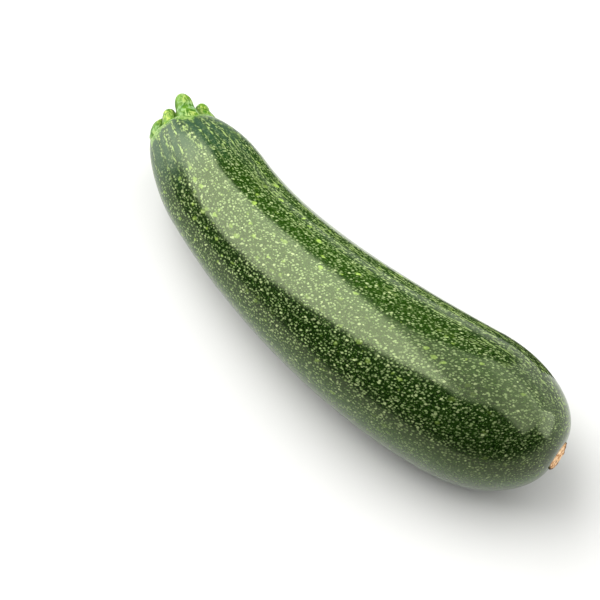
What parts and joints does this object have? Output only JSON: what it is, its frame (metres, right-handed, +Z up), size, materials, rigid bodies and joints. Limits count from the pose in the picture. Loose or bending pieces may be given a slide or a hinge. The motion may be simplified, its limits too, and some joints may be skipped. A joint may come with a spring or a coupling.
{
  "type": "zucchini",
  "caption": "Whole dark green zucchini lying on its side: a gently bowed, speckled fruit, slimmer at the ribbed stem stub than at the blossom end.",
  "frame": {"origin": "middle of the bounding box in X and Y, on the surface that the zucchini lies on, which is z = 0", "axes": "+X toward the blossom end, -X toward the stem, +Z up; the fruit bows toward -Y, with both ends carried toward +Y"},
  "size_m": [0.1864, 0.0596, 0.0516],
  "materials": {
    "skin": "waxy dark green fruit skin with pale yellow-green specks, glossy",
    "stem": "fresh light green ribbed stem, matte",
    "scar": "dry tan corky scar, matte"
  },
  "bodies": {
    "root": {"fruit": "skin", "stem_stub": "stem", "blossom_scar": "scar"}
  },
  "joints": []
}
